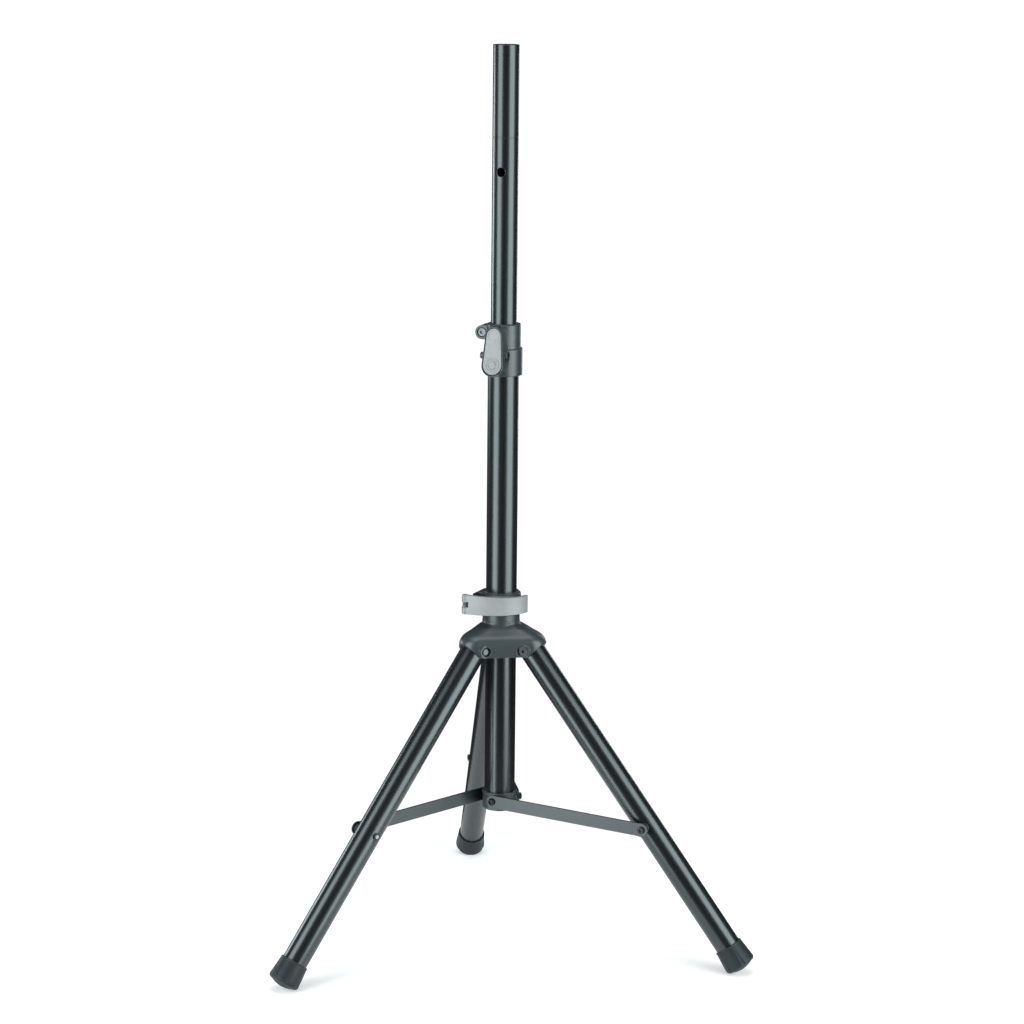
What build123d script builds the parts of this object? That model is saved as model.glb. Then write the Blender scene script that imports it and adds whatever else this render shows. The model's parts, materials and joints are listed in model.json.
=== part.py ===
from build123d import *

import math
import os

# A folding tripod stand for a loudspeaker, in millimetres.
# The origin is on the pole's axis at floor level, and +Z runs up the pole.
# The rear leg points along +Y; the left and right legs stand 120 degrees either side of it.

# ---- Pole ----
POLE_TOP = 1235.0
INNER_TUBE_R = 17.5
INNER_TUBE_WALL = 2.0
INNER_TUBE_LENGTH = 778.0
OUTER_TUBE_R = 21.0
OUTER_TUBE_WALL = 1.8
OUTER_TUBE_BOTTOM = 190.0
OUTER_TUBE_TOP = 832.0
TUBE_EDGE = 0.4
LOCK_HOLE_R = 6.1
LOCK_HOLE_TOP = 1069.0
LOCK_HOLE_PITCH = 221.0
LOCK_HOLE_COUNT = 3
SOCKET_MARK_DEPTH = 120.0
SOCKET_MARK_WIDTH = 1.2
SOCKET_MARK_CUT = 0.25
GUIDE_LENGTH = 40.0
TOP_PLUG_LENGTH = 26.0
PLUG_RECESS = 2.0
END_PLUG_FLANGE = 1.5
END_PLUG_EDGE = 1.0
END_PLUG_DEPTH = 15.0
PLUG_WALL = 2.5
PLUG_FLOOR = 4.0
PLUG_VENT_R = 4.2

# ---- Fits ----
RUNNING_GAP = 0.06
SLIDE_GAP = 0.08
BODY_GAP = 0.3
# How far a cutting bar runs to either side of what it cuts through.
THROUGH = 40.0

# ---- Legs ----
LEG_AZIMUTHS = {"rear": 90.0, "left": 210.0, "right": 330.0}
LEG_R = 17.5
LEG_WALL = 1.5
LEG_LEAN = 37.4
HINGE_RADIUS = 44.0
HINGE_Z = 422.5
LEG_ABOVE_HINGE = 3.0
LEG_NOSE_R = 17.3
LEG_PLUG_DEPTH = 26.0
PIVOT_BOLT_R = 3.0

# ---- Foot caps ----
CAP_TOP_R = 19.4
CAP_BOTTOM_R = 21.6
CAP_EDGE_R = 5.0
CAP_LENGTH = 33.0
CAP_FLOOR = 4.4
CAP_DOME = 4.0

# ---- Braces ----
BRACE_ON_LEG = 289.0
BRACE_PIVOT_Z = 203.5
BRACE_WIDTH = 17.8
BRACE_END_R = 9.6
BRACE_INNER_END = 7.6
BRACE_THICKNESS = 3.0
BRACE_OFFSET = 24.2
BRACE_SCREW_R = 3.0
BRACE_SCREW_HEAD_R = 4.9
BRACE_SCREW_HEAD = 3.6
BRACE_SCREW_DOME = 2.2
BRACE_SCREW_SOCKET = 2.7
BRACE_SOCKET_DEPTH = 2.0
LEG_SCREW_R = 2.6
LEG_SCREW_HEAD_R = 4.8
LEG_SCREW_HEAD = 2.5
LEG_SCREW_SOCKET = 2.3
LEG_SCREW_EDGE = 0.8
LEG_SCREW_FLOOR = 0.8
SPACER_R = 7.6
SPACER_EDGE = 0.8
BRACE_BOLT_HEAD_R = 4.75
BRACE_BOLT_HEAD = 2.3
BRACE_BOLT_SEAT = 0.6
BRACE_BOLT_STUD_R = 2.6
BRACE_BOLT_STUD = 3.1

# ---- Brace collar ----
COLLAR_TOP = 214.5
COLLAR_R = 23.4
COLLAR_RIM_R = 23.9
COLLAR_RIM = 3.0
COLLAR_LUG_R = 7.4
COLLAR_LUG_ROOT = 12.0
COLLAR_LUG_FACE = 23.9

# ---- Hub ----
HUB_BOTTOM = 414.0
HUB_TOP = 457.5
HUB_NECK_R = 25.5
HUB_NECK_TOP = 459.5
# Height, distance of the corner centres from the axis, and corner radius of each section.
HUB_SECTIONS = (
    (HUB_BOTTOM, 42.8, 22.2),
    (424.0, 43.2, 22.4),
    (432.0, 42.7, 22.4),
    (437.5, 40.1, 22.0),
    (442.5, 34.8, 20.3),
    (447.5, 25.2, 18.7),
    (452.0, 14.2, 19.5),
    (HUB_TOP, 0.4, 25.6),
)
HUB_SLOT_R = 18.4
HUB_SLOT_HALF = 18.1
HUB_SLOT_REACH = 60.0
HUB_POCKET_TOP = 436.0
HUB_POCKET_CORNER = 41.0
HUB_POCKET_CORNER_R = 18.4
HUB_CHEEK = 23.2
HUB_SLEEVE_R = 25.2
HUB_BOSS_R = 8.8
HUB_BOSS_FACE = 25.2
HUB_HOOD_START = 49.8
HUB_HOOD_SLOPE = 48.0
HUB_BUSH_BOTTOM = 440.0
HUB_BUSH_R = 22.6
HUB_BUSH_TOP = 498.5
HUB_BUSH_LIP_R = 23.6
BOLT_HEAD_R = 7.6
BOLT_HEAD = 1.6
BOLT_HEAD_EDGE = 0.5
BOLT_HEAD_GAP = 0.1
BOLT_SOCKET_R = 2.2
NUT_R = 5.1
NUT_BORE_R = 6.4
NUT_DEPTH = 3.0
NUT_DOME = 1.8

# ---- Lower clamp ----
CLAMP_TURN = -7.1
CLAMP_TOP = 496.5
CLAMP_RING_R = 27.0
CLAMP_RING_BOTTOM = 468.0
CLAMP_RING_EDGE = 1.2
LEVER_PIN_X = -49.4
LEVER_PIN_Y = -21.5
LEVER_PIN_R = 2.0
LEVER_PIN_INSET = 0.6
LEVER_MID_Z = 483.5
BAND_THICKNESS = 5.5
BAND_FRONT_X = -2.0
BAND_FRONT_Y = -34.0
BAND_RIGHT_R = 43.0
BAND_RIGHT_SWEEP = 55.5
BAND_LEFT_R = 96.0
BAND_LEFT_SWEEP = 28.5
BAND_LEFT_HALF = 13.5
BAND_RIGHT_HALF = 11.6
BAND_EYE_R = 4.4
BAND_TIP_R = 2.75
BAND_END_X = 38.0
FORK_HALF = 3.8
FORK_END = 4.3
TINE_CORNER_R = 3.0
BAND_CORNER_R = 1.5
BARREL_R = 3.2
DRAW_BOLT_R = 2.0
DRAW_BOLT_AZIMUTH = 65.0
DRAW_BOLT_LENGTH = 56.0
EAR_START = 8.0
EAR_END = 50.0
EAR_R = 5.2
EAR_SPLIT = 25.0
EAR_SPLIT_GAP = 2.0
EAR_WALL_DISTANCE = 29.3
EAR_WALL = 2.2
EAR_WALL_CORNER = 3.0
EAR_POCKET_FLOOR = 490.5
DRAW_NUT_R = 4.4
DRAW_NUT = 5.0

# ---- Upper clamp ----
HOUSING_AZIMUTH = 243.0
HOUSING_BOTTOM = 797.0
HOUSING_STEP = 834.0
HOUSING_TOP = 866.0
HOUSING_SLEEVE_R = 25.5
HOUSING_STEP_EDGE = 2.0
HOUSING_RING_R = 23.0
HOUSING_EDGE = 1.0
BUSH_R = 19.0
BUSH_BOTTOM = 800.0
BUSH_LIP_R = 20.0
BUSH_LIP = 0.8
CROSS_PIN_X = 29.5
CROSS_PIN_Z = 826.0
CROSS_PIN_R = 2.0
CROSS_PIN_LEFT = -18.6
CROSS_PIN_RIGHT = 14.0
PIN_NUB_R = 4.6
PIN_NUB_END = -21.6
PIN_NUB_EDGE = 1.2
PIN_BOSS_R = 7.2
PIN_BOSS_END = 17.3
PIN_BOSS_HOLE_R = 5.2
PIN_BOSS_FLOOR = 14.6

# The block that carries the rocker: an upright oblong, cut off along the rocker's tilted face.
BLOCK_BACK = 12.0
BLOCK_REACH = 50.0
BLOCK_TOP_Z = 854.5
BLOCK_TOP_R = 11.5
BLOCK_LOW_Z = 815.0
BLOCK_LOW_R = 15.0
BLOCK_FACE = 13.8

# The rocker, in its own tilted frame on the cross pin: +X out of its face, +Z up its length.
ROCKER_TILT = 7.9
ROCKER_TOP = 26.7
ROCKER_TOP_R = 9.9
ROCKER_LOW = -12.4
ROCKER_LOW_R = 13.1
ROCKER_BACK = 9.4
ROCKER_FACE = 14.8
ROCKER_EDGE = 1.6
ROCKER_POCKET_GAP = 0.8
ROCKER_POCKET_DROP = 0.8
ROCKER_POCKET_FLOOR = 8.6
ROCKER_SWING_FLOOR = 5.4
ROCKER_SWING_TOP_R = 8.0
PAD_R = 10.2
PAD_RISE = 0.5
PAD_DISH_R = 8.3
PAD_DISH = 0.7
PAD_RING_R = 5.6
PAD_RING = 0.7
PAD_RING_DROP = 0.2
THUMB_DISH_R = 7.0
THUMB_DISH = 0.35
KNUCKLE_R = 4.2
KNUCKLE_HALF = 7.5
WELL_HALF = 13.4
WELL_R = 5.4
STEM_HALF = 4.0
SPRING_WIRE_R = 0.45
SPRING_COIL_R = 3.2
SPRING_TURNS = 3.5
SPRING_PITCH = 1.15
SPRING_SIDE = 1.1

# The lock pin and the slotted arm that draws it.
LOCK_PIN_Z = 849.0
LOCK_PIN_R = 5.2
LOCK_PIN_NECK_R = 2.0
LOCK_PIN_NECK = 26.8
LOCK_PIN_HEAD_R = 4.0
LOCK_PIN_HEAD = 31.6
LOCK_PIN_END = 33.4
ARM_BACK = 28.6
ARM_FRONT = 38.0
ARM_HALF = 6.5
ARM_LOW = -6.5
ARM_HIGH = 7.5
ARM_SHAFT_TOP = 9.0
SHAFT_HALF = 7.6
HEAD_ROOM_X = 1.1
HEAD_ROOM_Y = 0.9
NECK_ROOM = 0.6

# The split ring's ear and its screw.
LUG_AZIMUTH = 153.0
LUG_RADIUS = 26.9
LUG_Z = 854.0
LUG_R = 9.5
LUG_HALF = 12.0
LUG_SLIT = 2.0
LUG_COUNTERBORE = 3.5
LUG_SCREW_R = 3.0
LUG_HEAD_R = 5.9
LUG_HEAD_GAP = 0.7
LUG_SOCKET_R = 2.9
LUG_SOCKET_DEPTH = 2.6
LUG_HEAD_EDGE = 0.8
LUG_HEAD_INSET = 0.4
LUG_SCREW_INSET = 0.5
LUG_NUT_INSET = 0.2

os.makedirs("parts", exist_ok=True)


def write(name, shape):
    """Writes one piece, or a group of like pieces, as a node."""
    shape.label = name
    export_step(shape, f"parts/{name}.step")


def x_rod(radius, low, high, y=0.0, z=0.0):
    """A round bar along X."""
    return Pos((low + high) / 2, y, z) * Rot(0, 90, 0) * Cylinder(radius, high - low)


def y_rod(radius, low, high, x=0.0, z=0.0):
    """A round bar along Y."""
    return Pos(x, (low + high) / 2, z) * Rot(90, 0, 0) * Cylinder(radius, high - low)


def z_rod(radius, low, high, x=0.0, y=0.0):
    """A round bar along Z."""
    return Pos(x, y, (low + high) / 2) * Cylinder(radius, high - low)


def block(low, high):
    """A box between two opposite corners."""
    size = [b - a for a, b in zip(low, high)]
    middle = [(a + b) / 2 for a, b in zip(low, high)]
    return Pos(*middle) * Box(*size)


def pipe(outer, inner, low, high):
    """A tube along Z."""
    return z_rod(outer, low, high) - z_rod(inner, low - 1, high + 1)


def hexagon_y(radius, low, high):
    """A hexagonal bar along Y, by its corner radius."""
    outline = Plane.XZ.offset(-low) * RegularPolygon(radius, 6)
    return extrude(outline, amount=-(high - low))


def around(azimuth):
    """A frame whose +X points outwards at this azimuth and whose +Y runs anticlockwise."""
    return Rot(0, 0, azimuth)


def leg_frame(azimuth):
    """A frame on a leg's hinge whose +Z runs down the leg and whose +Y is the hinge's axis."""
    return around(azimuth) * Pos(HINGE_RADIUS, 0, HINGE_Z) * Rot(0, 180 - LEG_LEAN, 0)


# ---------------------------------------------------------------- pole tubes


def make_outer_tube():
    tube = pipe(OUTER_TUBE_R, OUTER_TUBE_R - OUTER_TUBE_WALL, OUTER_TUBE_BOTTOM, OUTER_TUBE_TOP)
    return chamfer(tube.edges().filter_by(GeomType.CIRCLE), TUBE_EDGE)


def make_tube_end_plug():
    inside = OUTER_TUBE_R - OUTER_TUBE_WALL
    plug = z_rod(inside, OUTER_TUBE_BOTTOM, OUTER_TUBE_BOTTOM + END_PLUG_DEPTH)
    plug += z_rod(OUTER_TUBE_R, OUTER_TUBE_BOTTOM - END_PLUG_FLANGE, OUTER_TUBE_BOTTOM)
    plug -= z_rod(inside - PLUG_WALL, OUTER_TUBE_BOTTOM + 1, OUTER_TUBE_BOTTOM + END_PLUG_DEPTH + 1)
    low_rim = plug.edges().filter_by(GeomType.CIRCLE).sort_by(Axis.Z)[0]
    return fillet(low_rim, END_PLUG_EDGE)


def make_inner_tube():
    bottom = POLE_TOP - INNER_TUBE_LENGTH
    tube = pipe(INNER_TUBE_R, INNER_TUBE_R - INNER_TUBE_WALL, bottom, POLE_TOP)
    tube = chamfer(tube.edges().filter_by(GeomType.CIRCLE), TUBE_EDGE)
    for index in range(LOCK_HOLE_COUNT):
        hole_z = LOCK_HOLE_TOP - index * LOCK_HOLE_PITCH
        tube -= around(HOUSING_AZIMUTH) * x_rod(LOCK_HOLE_R, -25, 25, z=hole_z)
    mark_z = POLE_TOP - SOCKET_MARK_DEPTH
    mark = pipe(INNER_TUBE_R + 1, INNER_TUBE_R - SOCKET_MARK_CUT, mark_z - SOCKET_MARK_WIDTH, mark_z)
    return tube - mark


def make_inner_tube_guide():
    bottom = POLE_TOP - INNER_TUBE_LENGTH
    outer = OUTER_TUBE_R - OUTER_TUBE_WALL - SLIDE_GAP
    guide = pipe(outer, INNER_TUBE_R, bottom, bottom + GUIDE_LENGTH)
    foot = pipe(outer, INNER_TUBE_R - INNER_TUBE_WALL, bottom - 2, bottom)
    return guide + foot


def make_tube_top_plug():
    radius = INNER_TUBE_R - INNER_TUBE_WALL
    top = POLE_TOP - PLUG_RECESS
    plug = z_rod(radius, top - TOP_PLUG_LENGTH, top)
    plug -= z_rod(radius - PLUG_WALL, top - TOP_PLUG_LENGTH - 1, top - PLUG_FLOOR)
    plug -= z_rod(PLUG_VENT_R, top - PLUG_FLOOR - 1, top + 1)
    return plug


# ---------------------------------------------------------------- brace collar


def make_brace_collar():
    bore = OUTER_TUBE_R
    collar = pipe(COLLAR_R, bore, OUTER_TUBE_BOTTOM, COLLAR_TOP)
    collar += pipe(COLLAR_RIM_R, bore, COLLAR_TOP - COLLAR_RIM, COLLAR_TOP)
    for azimuth in LEG_AZIMUTHS.values():
        pad = x_rod(COLLAR_LUG_R, COLLAR_LUG_ROOT, COLLAR_LUG_FACE, z=BRACE_PIVOT_Z)
        low = (COLLAR_LUG_ROOT, -COLLAR_LUG_R, OUTER_TUBE_BOTTOM)
        web = block(low, (COLLAR_LUG_FACE, COLLAR_LUG_R, BRACE_PIVOT_Z))
        collar += around(azimuth - 90) * (pad + web)
    collar -= z_rod(bore, OUTER_TUBE_BOTTOM - 5, COLLAR_TOP + 5)
    for azimuth in LEG_AZIMUTHS.values():
        collar -= around(azimuth - 90) * x_rod(BRACE_SCREW_R, bore - 4, COLLAR_LUG_FACE + 1, z=BRACE_PIVOT_Z)
    return collar


def make_collar_screws():
    """The three socket screws that the braces turn on."""
    screws = []
    head_start = BRACE_OFFSET + BRACE_THICKNESS + BODY_GAP
    for azimuth in LEG_AZIMUTHS.values():
        screw = x_rod(BRACE_SCREW_R, OUTER_TUBE_R + BODY_GAP, head_start, z=BRACE_PIVOT_Z)
        head = x_rod(BRACE_SCREW_HEAD_R, head_start, head_start + BRACE_SCREW_HEAD, z=BRACE_PIVOT_Z)
        rim = head.edges().filter_by(GeomType.CIRCLE).sort_by(Axis.X)[-1]
        head = fillet(rim, BRACE_SCREW_DOME)
        socket_floor = head_start + BRACE_SCREW_HEAD - BRACE_SOCKET_DEPTH
        socket_plane = Plane(origin=(socket_floor, 0, BRACE_PIVOT_Z), z_dir=(1, 0, 0))
        socket = socket_plane * RegularPolygon(BRACE_SCREW_SOCKET, 6)
        screws.append(around(azimuth - 90) * (screw + head - extrude(socket, amount=2 * BRACE_SOCKET_DEPTH)))
    return Compound(children=screws)


# ---------------------------------------------------------------- legs and braces


def make_leg_tube():
    end = leg_length() - CAP_FLOOR
    tube = pipe(LEG_R, LEG_R - LEG_WALL, -LEG_ABOVE_HINGE, end)
    tube -= y_rod(PIVOT_BOLT_R + RUNNING_GAP, -THROUGH, THROUGH)
    tube -= y_rod(BRACE_SCREW_R, -THROUGH, THROUGH, z=BRACE_ON_LEG)
    return tube


def make_leg_plug():
    """The plastic plug in a leg's top end, with a nose domed about the hinge."""
    plug = z_rod(LEG_R - LEG_WALL, -LEG_ABOVE_HINGE, LEG_PLUG_DEPTH)
    nose = Sphere(LEG_NOSE_R) & z_rod(2 * LEG_R, -2 * LEG_R, -LEG_ABOVE_HINGE)
    return plug + nose - y_rod(PIVOT_BOLT_R + RUNNING_GAP, -THROUGH, THROUGH)


def leg_length():
    """How far down the leg the flat end of the cap's edge lies, so that the cap rests on the floor."""
    lean = math.radians(LEG_LEAN)
    flat_r = CAP_BOTTOM_R - CAP_EDGE_R
    drop = HINGE_Z - flat_r * math.sin(lean) - CAP_EDGE_R
    return drop / math.cos(lean) + CAP_EDGE_R


def make_foot_cap():
    end = leg_length()
    top = end - CAP_LENGTH
    flat_r = CAP_BOTTOM_R - CAP_EDGE_R
    knee = (CAP_BOTTOM_R - CAP_EDGE_R * (1 - math.sqrt(0.5)), end - CAP_EDGE_R * (1 - math.sqrt(0.5)))
    bulge_r = (flat_r**2 + CAP_DOME**2) / (2 * CAP_DOME)
    half = flat_r / 2
    half_z = end + CAP_DOME - bulge_r + math.sqrt(bulge_r**2 - half**2)
    rim = Line((LEG_R, 0, top), (CAP_TOP_R - 0.8, 0, top))
    shoulder = Line((CAP_TOP_R - 0.8, 0, top), (CAP_TOP_R, 0, top + 0.8))
    side = Line((CAP_TOP_R, 0, top + 0.8), (CAP_BOTTOM_R, 0, end - CAP_EDGE_R))
    edge = ThreePointArc((CAP_BOTTOM_R, 0, end - CAP_EDGE_R), (knee[0], 0, knee[1]), (flat_r, 0, end))
    dome = ThreePointArc((flat_r, 0, end), (half, 0, half_z), (0, 0, end + CAP_DOME))
    inside_z = end - CAP_FLOOR
    centre = Line((0, 0, end + CAP_DOME), (0, 0, inside_z))
    floor = Line((0, 0, inside_z), (LEG_R, 0, inside_z))
    wall = Line((LEG_R, 0, inside_z), (LEG_R, 0, top))
    outline = make_face(Wire([rim, shoulder, side, edge, dome, centre, floor, wall]))
    return revolve(outline, Axis.Z)


def make_brace_spacer():
    """The round spacer that carries a brace beside its leg, saddled to the tube."""
    face = BRACE_OFFSET - BODY_GAP
    spacer = y_rod(SPACER_R, -face, -8, z=BRACE_ON_LEG)
    spacer -= z_rod(LEG_R, BRACE_ON_LEG - 30, BRACE_ON_LEG + 30)
    spacer -= y_rod(BRACE_SCREW_R, -face - 1, 0, z=BRACE_ON_LEG)
    rim = spacer.edges().filter_by(GeomType.CIRCLE).sort_by(Axis.Y)[0]
    return fillet(rim, SPACER_EDGE)


def make_brace_bolt():
    """The bolt through a leg that ends level with the spacer's face."""
    shank_end = -(BRACE_OFFSET - BODY_GAP)
    bolt = y_rod(BRACE_SCREW_R, shank_end, LEG_R, z=BRACE_ON_LEG)
    head = y_rod(BRACE_BOLT_HEAD_R, LEG_R - BRACE_BOLT_SEAT, LEG_R + BRACE_BOLT_HEAD, z=BRACE_ON_LEG)
    head -= z_rod(LEG_R, BRACE_ON_LEG - 10, BRACE_ON_LEG + 10)
    stud = y_rod(BRACE_BOLT_STUD_R, LEG_R, LEG_R + BRACE_BOLT_STUD, z=BRACE_ON_LEG)
    return bolt + head + stud


def brace_ends():
    """A brace's two pivots beside its leg, as radius and height."""
    lean = math.radians(LEG_LEAN)
    outer_r = HINGE_RADIUS + BRACE_ON_LEG * math.sin(lean)
    outer_z = HINGE_Z - BRACE_ON_LEG * math.cos(lean)
    return (0.0, BRACE_PIVOT_Z), (outer_r, outer_z)


def brace_frame(azimuth):
    """A frame on a brace's inner pivot whose +X runs along the brace."""
    inner, outer = brace_ends()
    slope = math.degrees(math.atan2(inner[1] - outer[1], outer[0] - inner[0]))
    return around(azimuth) * Pos(inner[0], 0, inner[1]) * Rot(0, slope, 0)


def brace_length():
    inner, outer = brace_ends()
    return math.hypot(outer[0] - inner[0], outer[1] - inner[1])


def make_brace():
    length = brace_length()
    far = -BRACE_OFFSET
    near = far - BRACE_THICKNESS
    half = BRACE_WIDTH / 2
    inset = half - BRACE_INNER_END
    bar = block((inset, near, -half), (length, far, half))
    bar += y_rod(half, near, far, x=inset) + y_rod(BRACE_END_R, near, far, x=length)
    bar -= y_rod(BRACE_SCREW_R + RUNNING_GAP, near - 1, far + 1)
    bar -= y_rod(LEG_SCREW_R, near - 1, far + 1, x=length)
    return bar


def make_brace_screw():
    """The screw at a brace's outer end."""
    length = brace_length()
    outside = -BRACE_OFFSET - BRACE_THICKNESS
    screw = y_rod(LEG_SCREW_R, outside, -BRACE_OFFSET, x=length)
    head = y_rod(LEG_SCREW_HEAD_R, outside - LEG_SCREW_HEAD, outside, x=length)
    rim = head.edges().filter_by(GeomType.CIRCLE).sort_by(Axis.Y)[0]
    head = fillet(rim, LEG_SCREW_EDGE)
    socket = hexagon_y(LEG_SCREW_SOCKET, outside - LEG_SCREW_HEAD - 1, outside - LEG_SCREW_FLOOR)
    socket = Pos(length, 0, 0) * socket
    return screw + head - socket


# ---------------------------------------------------------------- hub


def three_lobes(corner, radius):
    """A triangle with rounded corners that point along the legs."""
    outline = RegularPolygon(corner + 2 * radius, 3, rotation=90)
    return fillet(outline.vertices(), radius)


def hub_leg_slot():
    """The space that a leg's top end needs as it swings between its open and folded positions."""
    slot = Pos(HINGE_RADIUS, 0, HINGE_Z) * Sphere(HUB_SLOT_R)
    for lean in (LEG_LEAN, LEG_LEAN / 2, 0):
        frame = Pos(HINGE_RADIUS, 0, HINGE_Z) * Rot(0, 180 - lean, 0)
        slot += frame * z_rod(HUB_SLOT_HALF, 0, HUB_SLOT_REACH)
    lean = math.radians(LEG_LEAN)
    between = Polyline(
        (HINGE_RADIUS, 0, HINGE_Z),
        (HINGE_RADIUS + HUB_SLOT_REACH * math.sin(lean), 0, HINGE_Z - HUB_SLOT_REACH * math.cos(lean)),
        (HINGE_RADIUS, 0, HINGE_Z - HUB_SLOT_REACH),
        close=True,
    )
    return slot + extrude(make_face(between), amount=HUB_SLOT_HALF, both=True)


def hub_hood_cut():
    """Trims a lobe's lower edge, which rises outwards from the hinge to form a hood over the leg."""
    run = 40.0
    outline = Polyline(
        (HUB_HOOD_START, 0, HUB_BOTTOM - 10),
        (HUB_HOOD_START, 0, HUB_BOTTOM),
        (HUB_HOOD_START + run, 0, HUB_BOTTOM + run * math.tan(math.radians(HUB_HOOD_SLOPE))),
        (HUB_HOOD_START + run, 0, HUB_BOTTOM - 10),
        close=True,
    )
    return extrude(make_face(outline), amount=40, both=True)


def hub_pockets():
    """Three hollows under the hub, between the legs' cheeks."""
    outline = three_lobes(HUB_POCKET_CORNER, HUB_POCKET_CORNER_R)
    hollow = extrude(Pos(0, 0, HUB_BOTTOM - 1) * outline, amount=HUB_POCKET_TOP - HUB_BOTTOM + 1)
    hollow -= z_rod(HUB_SLEEVE_R, HUB_BOTTOM - 5, HUB_POCKET_TOP + 5)
    for azimuth in LEG_AZIMUTHS.values():
        cheeks = block((0, -HUB_CHEEK, HUB_BOTTOM - 5), (90, HUB_CHEEK, HUB_POCKET_TOP + 5))
        hollow -= around(azimuth) * cheeks
    return hollow


def make_hub_body():
    sections = [Pos(0, 0, z) * three_lobes(corner, radius) for z, corner, radius in HUB_SECTIONS]
    hub = loft(sections)
    hub += z_rod(HUB_NECK_R, HUB_TOP - 5, HUB_NECK_TOP)
    for azimuth in LEG_AZIMUTHS.values():
        boss = y_rod(HUB_BOSS_R, -HUB_BOSS_FACE, HUB_BOSS_FACE, x=HINGE_RADIUS, z=HINGE_Z)
        hub += around(azimuth) * boss
    hub -= hub_pockets()
    for azimuth in LEG_AZIMUTHS.values():
        frame = around(azimuth)
        hub -= frame * hub_leg_slot()
        hub -= frame * hub_hood_cut()
        hub -= frame * y_rod(PIVOT_BOLT_R, -THROUGH, THROUGH, x=HINGE_RADIUS, z=HINGE_Z)
        nut_floor = HUB_BOSS_FACE - NUT_DEPTH
        hub -= frame * y_rod(NUT_BORE_R, nut_floor, THROUGH, x=HINGE_RADIUS, z=HINGE_Z)
        head_floor = -HUB_BOSS_FACE + BOLT_HEAD / 2
        hub -= frame * y_rod(BOLT_HEAD_R + BOLT_HEAD_GAP, -THROUGH, head_floor, x=HINGE_RADIUS, z=HINGE_Z)
    hub -= z_rod(OUTER_TUBE_R + 4 * RUNNING_GAP, HUB_BOTTOM - 5, HUB_NECK_TOP + 5)
    hub -= z_rod(HUB_BUSH_R, HUB_BUSH_BOTTOM, HUB_NECK_TOP + 5)
    return hub


def make_hub_bush():
    bore = OUTER_TUBE_R + RUNNING_GAP
    bush = pipe(HUB_BUSH_R, bore, HUB_BUSH_BOTTOM, HUB_BUSH_TOP)
    lip = pipe(HUB_BUSH_LIP_R, bore, CLAMP_TOP, HUB_BUSH_TOP)
    return bush + lip


def make_pivot_bolts():
    """The three leg hinge bolts, each with a flat socket head on one cheek."""
    bolts = []
    head_floor = -HUB_BOSS_FACE + BOLT_HEAD / 2
    for azimuth in LEG_AZIMUTHS.values():
        bolt = y_rod(PIVOT_BOLT_R, head_floor, HUB_BOSS_FACE - NUT_DEPTH)
        head = y_rod(BOLT_HEAD_R, head_floor - BOLT_HEAD, head_floor)
        rim = head.edges().filter_by(GeomType.CIRCLE).sort_by(Axis.Y)[0]
        bolt += fillet(rim, BOLT_HEAD_EDGE)
        bolt -= hexagon_y(BOLT_SOCKET_R, head_floor - BOLT_HEAD - 1, head_floor + 1)
        bolts.append(around(azimuth) * Pos(HINGE_RADIUS, 0, HINGE_Z) * bolt)
    return Compound(children=bolts)


def make_pivot_nuts():
    """The domed nuts, sunk in the other cheeks."""
    nuts = []
    for azimuth in LEG_AZIMUTHS.values():
        nut = y_rod(NUT_R, HUB_BOSS_FACE - NUT_DEPTH, HUB_BOSS_FACE)
        rim = nut.edges().filter_by(GeomType.CIRCLE).sort_by(Axis.Y)[-1]
        nuts.append(around(azimuth) * Pos(HINGE_RADIUS, 0, HINGE_Z) * fillet(rim, NUT_DOME))
    return Compound(children=nuts)


# ---------------------------------------------------------------- lower clamp


def clamp_frame():
    """The lower clamp's frame: +X runs along the lever, which lies across the front."""
    return around(CLAMP_TURN)


def draw_frame():
    """A frame on the lever's pin whose +X runs along the draw bolt."""
    return clamp_frame() * Pos(LEVER_PIN_X, LEVER_PIN_Y, 0) * Rot(0, 0, DRAW_BOLT_AZIMUTH)


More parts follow.
